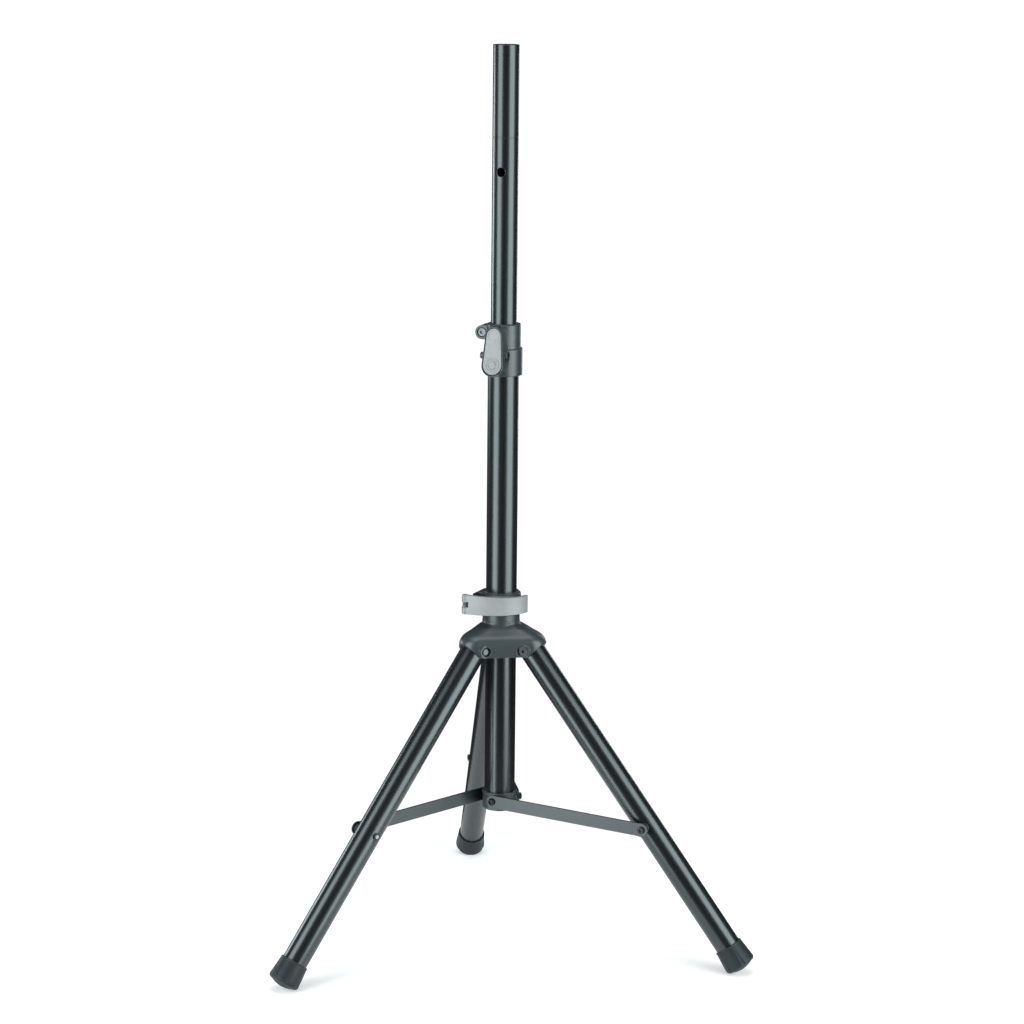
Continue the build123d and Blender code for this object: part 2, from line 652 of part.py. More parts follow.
def make_clamp_collar():
    """The split ring round the hub's neck, with the two ears that the draw bolt pulls together."""
    ring = z_rod(CLAMP_RING_R, CLAMP_RING_BOTTOM, CLAMP_TOP)
    ring = chamfer(ring.edges().filter_by(GeomType.CIRCLE), CLAMP_RING_EDGE)
    neck = z_rod(HUB_NECK_R, HUB_NECK_TOP, CLAMP_RING_BOTTOM + CLAMP_RING_EDGE)
    # The draw bolt passes the pole's axis at this distance, and the ears lie beside the ring.
    turn = math.radians(DRAW_BOLT_AZIMUTH)
    axis_y = LEVER_PIN_X * math.sin(turn) - LEVER_PIN_Y * math.cos(turn)
    wall_y = axis_y + EAR_WALL_DISTANCE
    ear = x_rod(EAR_R, EAR_START, EAR_END, z=LEVER_MID_Z)
    ear += block((EAR_START, axis_y / 4, LEVER_MID_Z - EAR_R), (EAR_END, 0, LEVER_MID_Z + EAR_R))
    web = block((EAR_START, axis_y + HUB_BUSH_R / 2, CLAMP_RING_BOTTOM + 1), (EAR_END, wall_y, CLAMP_TOP))
    web = chamfer(web.edges().filter_by(Axis.Z).group_by(Axis.Y)[-1], EAR_WALL_CORNER)
    # Above the draw bolt only a thin straight wall is left beside the ring.
    low_x = EAR_SPLIT - EAR_SPLIT_GAP / 2
    high_x = EAR_SPLIT + EAR_SPLIT_GAP / 2
    hollow_y = wall_y - EAR_WALL
    pocket = block((EAR_START - 1, axis_y, EAR_POCKET_FLOOR), (low_x - EAR_WALL, hollow_y, CLAMP_TOP + 1))
    pocket += block((high_x + EAR_WALL, axis_y, EAR_POCKET_FLOOR), (EAR_END + 1, hollow_y, CLAMP_TOP + 1))
    frame = draw_frame()
    collar = ring + neck + frame * (ear + web)
    collar -= frame * pocket - z_rod(CLAMP_RING_R, CLAMP_RING_BOTTOM, CLAMP_TOP + 5)
    collar -= z_rod(HUB_BUSH_R, HUB_NECK_TOP - 5, CLAMP_TOP + 5)
    collar -= frame * block((low_x, axis_y, HUB_NECK_TOP - 5), (high_x, 20, CLAMP_TOP + 5))
    return collar - frame * x_rod(DRAW_BOLT_R, -5, 80, z=LEVER_MID_Z)


def band_outline():
    """The lever's plan: two tangent arcs of even thickness, with an eye on the pin and a round tip."""
    half = BAND_THICKNESS / 2
    right = (BAND_FRONT_X, BAND_FRONT_Y + BAND_RIGHT_R)
    left = (BAND_FRONT_X, BAND_FRONT_Y + BAND_LEFT_R)
    plan = arc_strip(right, BAND_RIGHT_R, half, -90, BAND_RIGHT_SWEEP)
    plan += arc_strip(left, BAND_LEFT_R, half, -90 - BAND_LEFT_SWEEP, BAND_LEFT_SWEEP)
    tip_angle = math.radians(-90 + BAND_RIGHT_SWEEP)
    tip_x = right[0] + BAND_RIGHT_R * math.cos(tip_angle)
    tip_y = right[1] + BAND_RIGHT_R * math.sin(tip_angle)
    plan += Pos(tip_x, tip_y) * Circle(BAND_TIP_R)
    plan += Pos(LEVER_PIN_X, LEVER_PIN_Y) * Circle(BAND_EYE_R)
    return plan


def arc_strip(centre, radius, half, start, sweep):
    """A strip between two arcs about one centre."""
    outer = CenterArc(centre, radius + half, start, sweep)
    inner = CenterArc(centre, radius - half, start, sweep)
    ends = [Line(outer @ 0, inner @ 0), Line(outer @ 1, inner @ 1)]
    return make_face(Wire([outer, inner, *ends]))


def make_ring_lever():
    slab_low = LEVER_MID_Z - BAND_LEFT_HALF
    slab = extrude(Pos(0, 0, slab_low) * band_outline(), amount=2 * BAND_LEFT_HALF)
    left_x = LEVER_PIN_X - BAND_EYE_R
    fork_x = LEVER_PIN_X + FORK_END
    side = [
        (left_x, 0, LEVER_MID_Z - BAND_LEFT_HALF),
        (left_x, 0, LEVER_MID_Z - FORK_HALF),
        (fork_x, 0, LEVER_MID_Z - FORK_HALF),
        (fork_x, 0, LEVER_MID_Z + FORK_HALF),
        (left_x, 0, LEVER_MID_Z + FORK_HALF),
        (left_x, 0, LEVER_MID_Z + BAND_LEFT_HALF),
        (BAND_END_X, 0, LEVER_MID_Z + BAND_RIGHT_HALF),
        (BAND_END_X, 0, LEVER_MID_Z - BAND_RIGHT_HALF),
    ]
    profile = make_face(Polyline(*side, close=True))
    by_x = profile.vertices().group_by(Axis.X)
    tine_ends = by_x[0].sort_by(Axis.Z)
    profile = fillet([tine_ends[0], tine_ends[-1]], TINE_CORNER_R)
    profile = fillet(profile.vertices().group_by(Axis.X)[-1], BAND_CORNER_R)
    lever = slab & extrude(profile, amount=70, both=True)
    lever -= z_rod(LEVER_PIN_R + RUNNING_GAP, 440, 520, x=LEVER_PIN_X, y=LEVER_PIN_Y)
    return clamp_frame() * lever


def make_lever_pin():
    half = BAND_LEFT_HALF - LEVER_PIN_INSET
    pin = z_rod(LEVER_PIN_R, LEVER_MID_Z - half, LEVER_MID_Z + half, x=LEVER_PIN_X, y=LEVER_PIN_Y)
    return clamp_frame() * pin


def make_draw_bolt():
    """The bolt that the lever pulls, with the barrel that turns on the lever's pin."""
    barrel_half = FORK_HALF - BODY_GAP
    bolt = z_rod(BARREL_R, LEVER_MID_Z - barrel_half, LEVER_MID_Z + barrel_half)
    bolt += x_rod(DRAW_BOLT_R, 0, DRAW_BOLT_LENGTH, z=LEVER_MID_Z)
    bolt -= z_rod(LEVER_PIN_R, 440, 520)
    return draw_frame() * bolt


def make_draw_nut():
    nut = x_rod(DRAW_NUT_R, EAR_END, EAR_END + DRAW_NUT, z=LEVER_MID_Z)
    nut -= x_rod(DRAW_BOLT_R, 0, 80, z=LEVER_MID_Z)
    return draw_frame() * nut


# ---------------------------------------------------------------- upper clamp


def pill(x, top_z, top_r, low_z, low_r):
    """A tapered oblong outline across the X axis, round at both ends."""
    top = Pos(0, top_z) * Circle(top_r)
    low = Pos(0, low_z) * Circle(low_r)
    across = Plane(origin=(x, 0, 0), x_dir=(0, 1, 0), z_dir=(1, 0, 0))
    return across * make_hull([*top.edges(), *low.edges()])


def rocker_frame():
    """The rocker's tilted frame on its cross pin."""
    return Pos(CROSS_PIN_X, 0, CROSS_PIN_Z) * Rot(0, -ROCKER_TILT, 0)


def make_clamp_housing():
    sleeve = z_rod(HOUSING_SLEEVE_R, HOUSING_BOTTOM, HOUSING_STEP)
    rims = sleeve.edges().filter_by(GeomType.CIRCLE).sort_by(Axis.Z)
    sleeve = fillet(rims[-1], HOUSING_STEP_EDGE)
    sleeve = fillet(sleeve.edges().filter_by(GeomType.CIRCLE).sort_by(Axis.Z)[0], HOUSING_EDGE)
    ring = z_rod(HOUSING_RING_R, HOUSING_STEP - HOUSING_STEP_EDGE, HOUSING_TOP)
    ring = fillet(ring.edges().filter_by(GeomType.CIRCLE).sort_by(Axis.Z)[-1], HOUSING_EDGE)
    frame = around(HOUSING_AZIMUTH)
    housing = sleeve + ring + frame * rocker_block() + around(LUG_AZIMUTH) * lug()
    housing -= frame * rocker_pocket()
    housing -= around(LUG_AZIMUTH) * lug_cuts()
    housing -= z_rod(OUTER_TUBE_R, HOUSING_BOTTOM - 5, OUTER_TUBE_TOP)
    housing -= z_rod(BUSH_R, HOUSING_BOTTOM, HOUSING_TOP + 5)
    return housing


def rocker_block():
    """The oblong block in front of the pole, with the cross pin's nub and boss on its sides."""
    body = extrude(pill(BLOCK_BACK, BLOCK_TOP_Z, BLOCK_TOP_R, BLOCK_LOW_Z, BLOCK_LOW_R), amount=BLOCK_REACH)
    body &= block((0, -60, HOUSING_BOTTOM), (80, 60, HOUSING_TOP))
    nub = y_rod(PIN_NUB_R, PIN_NUB_END, 0, x=CROSS_PIN_X, z=CROSS_PIN_Z)
    nub = fillet(nub.edges().filter_by(GeomType.CIRCLE).sort_by(Axis.Y)[0], PIN_NUB_EDGE)
    boss = y_rod(PIN_BOSS_R, 0, PIN_BOSS_END, x=CROSS_PIN_X, z=CROSS_PIN_Z)
    in_front = rocker_frame() * block((BLOCK_FACE, -60, -80), (BLOCK_FACE + 60, 60, 80))
    return body + nub + boss - in_front


def rocker_pocket():
    """The room for the rocker, its knuckle and spring, its arm and the lock pin's head."""
    top_r = ROCKER_TOP_R + ROCKER_POCKET_GAP
    low = ROCKER_LOW - ROCKER_POCKET_DROP
    low_r = ROCKER_LOW_R + ROCKER_POCKET_GAP
    seat = extrude(pill(ROCKER_POCKET_FLOOR, ROCKER_TOP, top_r, low, low_r), amount=20)
    swing = extrude(pill(ROCKER_SWING_FLOOR, 0, ROCKER_SWING_TOP_R, low, low_r), amount=10)
    well = block((-WELL_R, -WELL_HALF, -WELL_R), (ROCKER_POCKET_FLOOR + 1, WELL_HALF, WELL_R))
    room = rocker_frame() * (seat + swing + well)
    shaft_top = LOCK_PIN_Z + ARM_SHAFT_TOP
    room += block((LOCK_PIN_NECK, -SHAFT_HALF, CROSS_PIN_Z), (ARM_FRONT + 5, SHAFT_HALF, shaft_top))
    room += y_rod(CROSS_PIN_R, CROSS_PIN_LEFT, PIN_BOSS_FLOOR, x=CROSS_PIN_X, z=CROSS_PIN_Z)
    room += y_rod(PIN_BOSS_HOLE_R, PIN_BOSS_FLOOR, 30, x=CROSS_PIN_X, z=CROSS_PIN_Z)
    return room + x_rod(LOCK_PIN_R + SLIDE_GAP, 0, 30, z=LOCK_PIN_Z)


def lug():
    """The ear of the clamp's split ring, along its own screw."""
    ear = y_rod(LUG_R, -LUG_HALF, LUG_HALF, x=LUG_RADIUS, z=LUG_Z)
    web = block((12, -LUG_HALF, LUG_Z - LUG_R), (LUG_RADIUS, LUG_HALF, LUG_Z + LUG_R))
    return ear + web


def lug_cuts():
    """The slit, the screw's hole and its counterbores."""
    depth = LUG_HALF - LUG_COUNTERBORE
    slit = block((15, -LUG_SLIT / 2, HOUSING_STEP + 1), (60, LUG_SLIT / 2, HOUSING_TOP + 5))
    hole = y_rod(LUG_SCREW_R, -THROUGH, THROUGH, x=LUG_RADIUS, z=LUG_Z)
    head = y_rod(LUG_HEAD_R + LUG_HEAD_GAP, depth, THROUGH, x=LUG_RADIUS, z=LUG_Z)
    nut = y_rod(LUG_HEAD_R + BODY_GAP, -THROUGH, -depth, x=LUG_RADIUS, z=LUG_Z)
    return slit + hole + head + nut


def make_clamp_bush():
    bore = INNER_TUBE_R + RUNNING_GAP
    bush = pipe(BUSH_R, bore, BUSH_BOTTOM, HOUSING_TOP + BUSH_LIP)
    bush += pipe(BUSH_LIP_R, bore, HOUSING_TOP, HOUSING_TOP + BUSH_LIP)
    return bush - around(HOUSING_AZIMUTH) * x_rod(LOCK_PIN_R + SLIDE_GAP, 0, 30, z=LOCK_PIN_Z)


def make_clamp_screw():
    head_floor = LUG_HALF - LUG_COUNTERBORE
    screw = y_rod(LUG_SCREW_R, -LUG_HALF + LUG_SCREW_INSET, head_floor)
    head = y_rod(LUG_HEAD_R, head_floor, LUG_HALF - LUG_HEAD_INSET)
    rim = head.edges().filter_by(GeomType.CIRCLE).sort_by(Axis.Y)[-1]
    screw += fillet(rim, LUG_HEAD_EDGE)
    screw -= hexagon_y(LUG_SOCKET_R, LUG_HALF - LUG_SOCKET_DEPTH, LUG_HALF + 1)
    return around(LUG_AZIMUTH) * Pos(LUG_RADIUS, 0, LUG_Z) * screw


def make_clamp_nut():
    nut_floor = -LUG_HALF + LUG_COUNTERBORE
    nut = hexagon_y(LUG_HEAD_R, -LUG_HALF + LUG_NUT_INSET, nut_floor) - y_rod(LUG_SCREW_R, -THROUGH, THROUGH)
    return around(LUG_AZIMUTH) * Pos(LUG_RADIUS, 0, LUG_Z) * nut


def make_lock_cross_pin():
    pin = y_rod(CROSS_PIN_R, CROSS_PIN_LEFT, CROSS_PIN_RIGHT, x=CROSS_PIN_X, z=CROSS_PIN_Z)
    return around(HOUSING_AZIMUTH) * pin


def make_lock_spring():
    """The torsion spring that turns the rocker back, coiled round the cross pin."""
    path = Helix(SPRING_PITCH, SPRING_PITCH * SPRING_TURNS, SPRING_COIL_R)
    section = Plane(origin=path @ 0, z_dir=path % 0) * Circle(SPRING_WIRE_R)
    coil = sweep(section, path, is_frenet=True)
    place = Pos(CROSS_PIN_X, KNUCKLE_HALF + SPRING_SIDE, CROSS_PIN_Z) * Rot(-90, 0, 0)
    return around(HOUSING_AZIMUTH) * place * coil


def make_lock_lever():
    """The rocker: an oblong plate, a knuckle on the cross pin, and a slotted arm for the lock pin."""
    outline = pill(ROCKER_BACK, ROCKER_TOP, ROCKER_TOP_R, ROCKER_LOW, ROCKER_LOW_R)
    plate = extrude(outline, amount=ROCKER_FACE - ROCKER_BACK)
    plate = fillet(plate.edges().group_by(Axis.X)[-1], ROCKER_EDGE)
    pad_top = ROCKER_FACE + PAD_RISE
    dish_floor = pad_top - PAD_DISH
    plate += x_rod(PAD_R, ROCKER_BACK, pad_top, z=ROCKER_LOW)
    plate -= x_rod(PAD_DISH_R, dish_floor, pad_top + 5, z=ROCKER_LOW)
    plate += x_rod(PAD_RING_R, ROCKER_BACK, pad_top - PAD_RING_DROP, z=ROCKER_LOW)
    plate -= x_rod(PAD_RING_R - PAD_RING, dish_floor, pad_top + 5, z=ROCKER_LOW)
    plate -= x_rod(THUMB_DISH_R, ROCKER_FACE - THUMB_DISH, pad_top + 5, z=ROCKER_TOP)
    knuckle = y_rod(KNUCKLE_R, -KNUCKLE_HALF, KNUCKLE_HALF)
    stem = block((0, -KNUCKLE_HALF, -STEM_HALF), (ROCKER_BACK + 0.5, KNUCKLE_HALF, STEM_HALF))
    rocker = rocker_frame() * (plate + knuckle + stem) + pin_arm()
    rocker -= y_rod(CROSS_PIN_R + RUNNING_GAP, -20, 20, x=CROSS_PIN_X, z=CROSS_PIN_Z)
    return around(HOUSING_AZIMUTH) * rocker


def pin_arm():
    """The arm behind the rocker's plate, with a keyhole slot over the lock pin's head."""
    top = LOCK_PIN_Z + ARM_HIGH
    arm = block((ARM_BACK, -ARM_HALF, LOCK_PIN_Z + ARM_LOW), (ARM_FRONT, ARM_HALF, top))
    room = LOCK_PIN_HEAD_R + HEAD_ROOM_Y
    low = (LOCK_PIN_HEAD - HEAD_ROOM_X, -room, LOCK_PIN_Z - room)
    arm -= block(low, (LOCK_PIN_END + HEAD_ROOM_X, room, top))
    neck = LOCK_PIN_NECK_R + NECK_ROOM
    return arm - block((ARM_BACK - 1, -neck, LOCK_PIN_Z - neck), (LOCK_PIN_HEAD, neck, top))


def make_lock_pin():
    """The pin that drops into the inner tube's holes, with the neck and head the rocker pulls on."""
    pin = x_rod(LOCK_PIN_R, INNER_TUBE_R + BODY_GAP, LOCK_PIN_NECK, z=LOCK_PIN_Z)
    pin += x_rod(LOCK_PIN_NECK_R, LOCK_PIN_NECK, LOCK_PIN_HEAD, z=LOCK_PIN_Z)
    pin += x_rod(LOCK_PIN_HEAD_R, LOCK_PIN_HEAD, LOCK_PIN_END, z=LOCK_PIN_Z)
    return around(HOUSING_AZIMUTH) * pin


write("outer_tube", make_outer_tube())
write("tube_end_plug", make_tube_end_plug())
write("inner_tube", make_inner_tube())
write("inner_tube_guide", make_inner_tube_guide())
write("tube_top_plug", make_tube_top_plug())
write("brace_collar", make_brace_collar())
write("collar_screws", make_collar_screws())

for side, leg_azimuth in LEG_AZIMUTHS.items():
    on_leg = leg_frame(leg_azimuth)
    write(f"leg_tube_{side}", on_leg * make_leg_tube())
    write(f"leg_plug_{side}", on_leg * make_leg_plug())
    write(f"foot_cap_{side}", on_leg * make_foot_cap())
    write(f"brace_spacer_{side}", on_leg * make_brace_spacer())
    write(f"brace_bolt_{side}", on_leg * make_brace_bolt())
    on_brace = brace_frame(leg_azimuth)
    write(f"brace_{side}", on_brace * make_brace())
    write(f"brace_screw_{side}", on_brace * make_brace_screw())

write("hub_body", make_hub_body())
write("hub_bush", make_hub_bush())
write("hub_pivot_bolts", make_pivot_bolts())
write("hub_pivot_nuts", make_pivot_nuts())
write("clamp_collar", make_clamp_collar())
write("ring_lever", make_ring_lever())
write("lever_pin", make_lever_pin())
write("draw_bolt", make_draw_bolt())
write("draw_nut", make_draw_nut())

write("clamp_housing", make_clamp_housing())
write("clamp_bush", make_clamp_bush())
write("clamp_screw", make_clamp_screw())
write("clamp_nut", make_clamp_nut())
write("lock_cross_pin", make_lock_cross_pin())
write("lock_spring", make_lock_spring())
write("lock_lever", make_lock_lever())
write("lock_pin", make_lock_pin())
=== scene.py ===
import json
import math

import bmesh
import bpy
from mathutils import Matrix, Vector


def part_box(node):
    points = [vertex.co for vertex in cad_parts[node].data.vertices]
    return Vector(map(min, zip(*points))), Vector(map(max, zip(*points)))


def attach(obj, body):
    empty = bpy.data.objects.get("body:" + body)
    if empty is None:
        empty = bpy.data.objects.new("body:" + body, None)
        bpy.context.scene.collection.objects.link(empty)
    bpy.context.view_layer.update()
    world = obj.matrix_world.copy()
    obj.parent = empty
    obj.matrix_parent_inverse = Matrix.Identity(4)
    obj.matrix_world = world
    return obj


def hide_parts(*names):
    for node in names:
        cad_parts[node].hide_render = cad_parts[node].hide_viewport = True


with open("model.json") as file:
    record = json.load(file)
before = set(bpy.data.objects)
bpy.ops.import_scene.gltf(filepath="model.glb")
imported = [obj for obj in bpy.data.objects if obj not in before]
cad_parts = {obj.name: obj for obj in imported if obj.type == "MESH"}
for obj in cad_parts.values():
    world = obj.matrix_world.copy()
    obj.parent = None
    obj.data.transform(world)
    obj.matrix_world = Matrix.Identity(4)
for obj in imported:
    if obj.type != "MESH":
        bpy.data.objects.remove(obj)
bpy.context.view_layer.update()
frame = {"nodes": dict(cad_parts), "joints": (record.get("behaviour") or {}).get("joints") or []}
NODES = frame["nodes"]
JOINTS = {joint["name"]: joint for joint in frame["joints"]}
SIDES = ("rear", "left", "right")

# ---- Nodes by finish; the legs, braces and foot caps are painted side by side further down ----
COATED_TUBES = ("outer_tube", "inner_tube")
PLASTIC = (
    "tube_end_plug", "brace_collar", "inner_tube_guide", "tube_top_plug", "hub_body", "hub_bush",
    "clamp_collar", "clamp_housing", "clamp_bush",
)
SILVER_LEVERS = ("ring_lever", "lock_lever")
BLACK_STEEL = ("collar_screws", "hub_pivot_bolts")
ZINC_STEEL = (
    "hub_pivot_nuts", "lever_pin", "draw_bolt", "draw_nut", "clamp_screw", "clamp_nut",
    "lock_cross_pin", "lock_spring", "lock_pin",
)

# ---- View: the stand's front is turned a little from the camera; metres and millimetres of lens ----
VIEW_TURN = math.radians(-7.1)
CAMERA_DISTANCE = 3.682
CAMERA_HEIGHT = 1.393
CAMERA_DOWN = math.radians(12.04)
CAMERA_PAN = math.radians(0.21)
CAMERA_ROLL = math.radians(0.58)
CAMERA_LENS = 97.38
CAMERA_SENSOR = 36.0
CAMERA_CLIP_END = 50.0

# ---- Stage and light ----
FLOOR_R = 0.48
FLOOR_RIM_POINTS = 96
FLOOR_GLOW = 0.36
FLOOR_GLOW_COLOUR = (1.0, 0.93, 0.92, 1.0)
LIGHT_TINT = (0.88, 0.985, 1.0)
POWER_PER_RADIANCE = 4.0
BACKDROP_WHITE = 1.05
ROOM_COLOUR = (0.050, 0.055, 0.058)

# ---- Colours, linear red, green and blue ----
POWDER_BLACK = (0.0030, 0.0042, 0.0048)
POWDER_TINT = (0.92, 0.99, 1.0, 1.0)
POWDER_SCUFF = (0.040, 0.046, 0.048)
POWDER_WORN = (0.13, 0.135, 0.135)
NYLON_GREY = (0.022, 0.029, 0.032)
NYLON_FIBRE = (0.06, 0.065, 0.068)
NYLON_WORN = (0.12, 0.125, 0.13)
SILVER_DARK = (0.245, 0.240, 0.240)
SILVER_LIGHT = (0.285, 0.280, 0.280)
SILVER_FLAKE = (0.48, 0.475, 0.475)
SILVER_WORN = (0.48, 0.475, 0.47)
OXIDE_GREY = (0.035, 0.037, 0.040)
ZINC_GREY = (0.17, 0.175, 0.18)
RUST = (0.12, 0.06, 0.035)
BOLT_LIGHT = (0.035, 0.038, 0.041)
BOLT_DARK = (0.022, 0.024, 0.026)
SHANK_LIGHT = (0.30, 0.31, 0.32)
SHANK_DARK = (0.22, 0.23, 0.24)
RUBBER_DARK = (0.0090, 0.0135, 0.0155)
RUBBER_LIGHT = (0.0140, 0.0200, 0.0225)
# Painted highlight: the paler colour that the rubber caps' edges are mixed towards.
RUBBER_EDGE_HIGHLIGHT = (0.045, 0.052, 0.056)
RUBBER_DUST = (0.055, 0.056, 0.056)
PAPER_DARK = (0.86, 0.86, 0.86)
PAPER_LIGHT = (0.90, 0.90, 0.90)

# ---- Finishes: how much paler a paint's patches are, radii and relief in metres ----
PALER = 1.35
COAT_EDGE = 0.0008
BRACE_EDGE = 0.0006
NYLON_EDGE = 0.0012
SILVER_EDGE = 0.0010
STEEL_EDGE = 0.0004
RUBBER_EDGE_R = 0.0010
RELIEF = 0.0002
FINE_RELIEF = 0.0001
PAPER_RELIEF = 0.0005
COAT_ROUGHNESS = 0.27
BRACE_ROUGHNESS = 0.34
SHANK_R = 0.0026
SHANK_FADE_R = 0.0028
DUST_TOP = 0.020
DUST_FULL = 0.002


# ---------------------------------------------------------------- camera, stage and light


def make_camera():
    data = bpy.data.cameras.new("camera")
    data.lens = CAMERA_LENS
    data.sensor_width = CAMERA_SENSOR
    data.clip_end = CAMERA_CLIP_END
    camera = bpy.data.objects.new("camera", data)
    bpy.context.scene.collection.objects.link(camera)
    forward = Vector((
        math.sin(CAMERA_PAN) * math.cos(CAMERA_DOWN),
        math.cos(CAMERA_PAN) * math.cos(CAMERA_DOWN),
        -math.sin(CAMERA_DOWN),
    ))
    right = Vector((math.cos(CAMERA_PAN), -math.sin(CAMERA_PAN), 0))
    up = right.cross(forward)
    rolled_right = math.cos(CAMERA_ROLL) * right + math.sin(CAMERA_ROLL) * up
    rolled_up = math.cos(CAMERA_ROLL) * up - math.sin(CAMERA_ROLL) * right
    turn = Matrix((rolled_right, rolled_up, -forward)).transposed().to_4x4()
    place = Matrix.Translation((0, -CAMERA_DISTANCE, CAMERA_HEIGHT))
    camera.matrix_world = Matrix.Rotation(VIEW_TURN, 4, "Z") @ place @ turn
    bpy.context.scene.camera = camera


def make_lamp(name, width, height, radiance):
    """A rectangular area light, still at the origin."""
    data = bpy.data.lights.new(name, "AREA")
    data.shape = "RECTANGLE"
    data.color = LIGHT_TINT
    data.size = width
    data.size_y = height
    data.energy = POWER_PER_RADIANCE * radiance * width * height
    lamp = bpy.data.objects.new(name, data)
    bpy.context.scene.collection.objects.link(lamp)
    return lamp


def make_softbox(name, bearing, distance, low, high, width, radiance):
    """An upright light that faces the pole; bearing runs from the camera's side towards its right."""
    lamp = make_lamp(name, width, high - low, radiance)
    angle = VIEW_TURN + math.radians(bearing)
    middle_z = (low + high) / 2
    lamp.location = (distance * math.sin(angle), -distance * math.cos(angle), middle_z)
    target = Vector((0, 0, middle_z))
    lamp.rotation_euler = (target - lamp.location).to_track_quat("-Z", "Y").to_euler()


def make_overhead(name, place, width, radiance):
    """A level square light that shines straight down."""
    lamp = make_lamp(name, width, width, radiance)
    lamp.location = Matrix.Rotation(VIEW_TURN, 4, "Z") @ Vector(place)


def make_world():
    """White behind the stand, and a dim room for everything that the stand reflects."""
    world = bpy.data.worlds.new("studio")
    bpy.context.scene.world = world
    world.use_nodes = True
    nodes = world.node_tree.nodes
    links = world.node_tree.links
    backdrop = nodes["Background"]
    backdrop.inputs["Color"].default_value = (1, 1, 1, 1)
    backdrop.inputs["Strength"].default_value = BACKDROP_WHITE
    room = nodes.new("ShaderNodeBackground")
    room.inputs["Color"].default_value = (*ROOM_COLOUR, 1)
    room.inputs["Strength"].default_value = 1.0
    path = nodes.new("ShaderNodeLightPath")
    mix = nodes.new("ShaderNodeMixShader")
    links.new(path.outputs["Is Camera Ray"], mix.inputs[0])
    links.new(room.outputs[0], mix.inputs[1])
    links.new(backdrop.outputs[0], mix.inputs[2])
    links.new(mix.outputs[0], nodes["World Output"].inputs["Surface"])


def make_floor():
    mesh = bpy.data.meshes.new("floor")
    bm = bmesh.new()
    bmesh.ops.create_circle(bm, cap_ends=True, radius=FLOOR_R, segments=FLOOR_RIM_POINTS)
    bm.to_mesh(mesh)
    bm.free()
    mesh.materials.append(floor_paper("studio_paper"))
    floor = bpy.data.objects.new("floor", mesh)
    bpy.context.scene.collection.objects.link(floor)


def make_studio():
    """The lights stand where the tubes' long highlights ask for them; lengths in metres."""
    make_camera()
    make_world()
    make_softbox("left_strip", bearing=-51.0, distance=2.6, low=-0.85, high=2.6, width=1.7, radiance=4.3)
    make_softbox("right_strip", bearing=56.0, distance=2.6, low=-0.55, high=2.3, width=2.2, radiance=4.2)
    make_softbox("rim_strip", bearing=-122.0, distance=3.0, low=0.4, high=1.12, width=1.06, radiance=5.5)
    make_softbox("back_strip", bearing=152.0, distance=3.2, low=0.1, high=2.0, width=0.5, radiance=3.0)
    make_overhead("top_light", place=(0.0, -0.4, 3.2), width=2.6, radiance=2.0)
    make_floor()


# ---------------------------------------------------------------- shader helpers


